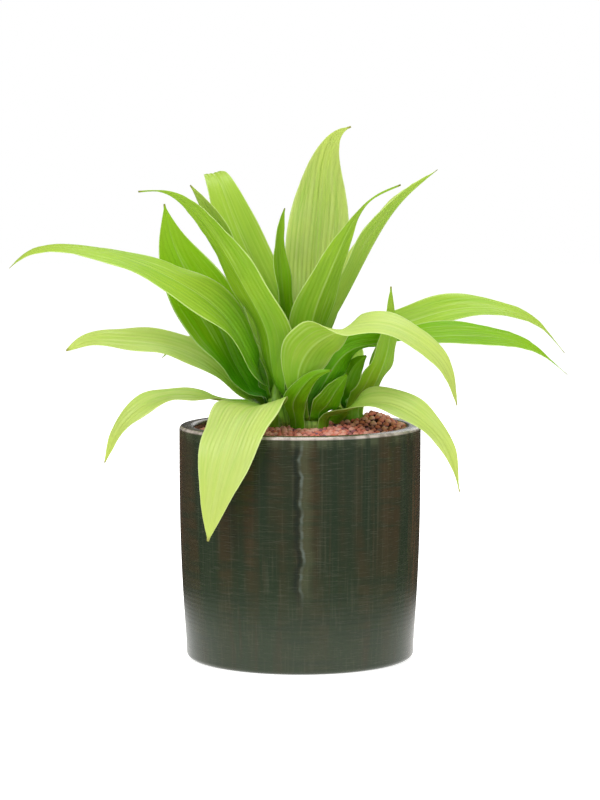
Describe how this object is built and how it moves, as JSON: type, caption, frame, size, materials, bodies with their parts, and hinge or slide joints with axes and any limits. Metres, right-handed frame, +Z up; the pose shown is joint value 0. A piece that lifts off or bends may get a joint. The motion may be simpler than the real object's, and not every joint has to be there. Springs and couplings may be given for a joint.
{
  "type": "potted dracaena",
  "caption": "Lime-green dracaena with arching strap leaves on short stems, in reddish clay granules in a dark glazed cylinder pot.",
  "frame": {"origin": "centre of the pot's flat base, on the surface it stands on", "axes": "+Z up along the pot's axis; -Y towards the front of the plant; +X to its right as seen from the front"},
  "size_m": [0.5037, 0.3178, 0.484],
  "materials": {
    "glaze": "gloss",
    "clay_granule": "matte",
    "growing_medium": "matte",
    "stem": "satin",
    "leaf": "satin"
  },
  "bodies": {
    "root": {"pot": "glaze", "growing_medium": "growing_medium", "granules": "clay_granule", "stem_left": "stem", "stem_middle": "stem", "stem_right": "stem", "leaf_left_1": "leaf", "leaf_left_2": "leaf", "leaf_left_3": "leaf", "leaf_left_4": "leaf", "leaf_left_5": "leaf", "leaf_left_6": "leaf", "leaf_left_7": "leaf", "leaf_left_8": "leaf", "leaf_left_9": "leaf", "leaf_middle_1": "leaf", "leaf_middle_2": "leaf", "leaf_middle_3": "leaf", "leaf_middle_4": "leaf", "leaf_middle_5": "leaf", "leaf_middle_6": "leaf", "leaf_middle_7": "leaf", "leaf_middle_8": "leaf", "leaf_middle_9": "leaf", "leaf_middle_10": "leaf", "leaf_middle_11": "leaf", "leaf_middle_12": "leaf", "leaf_middle_13": "leaf", "leaf_middle_14": "leaf", "leaf_middle_15": "leaf", "leaf_middle_16": "leaf", "leaf_right_1": "leaf", "leaf_right_2": "leaf", "leaf_right_3": "leaf", "leaf_right_4": "leaf"}
  },
  "joints": []
}
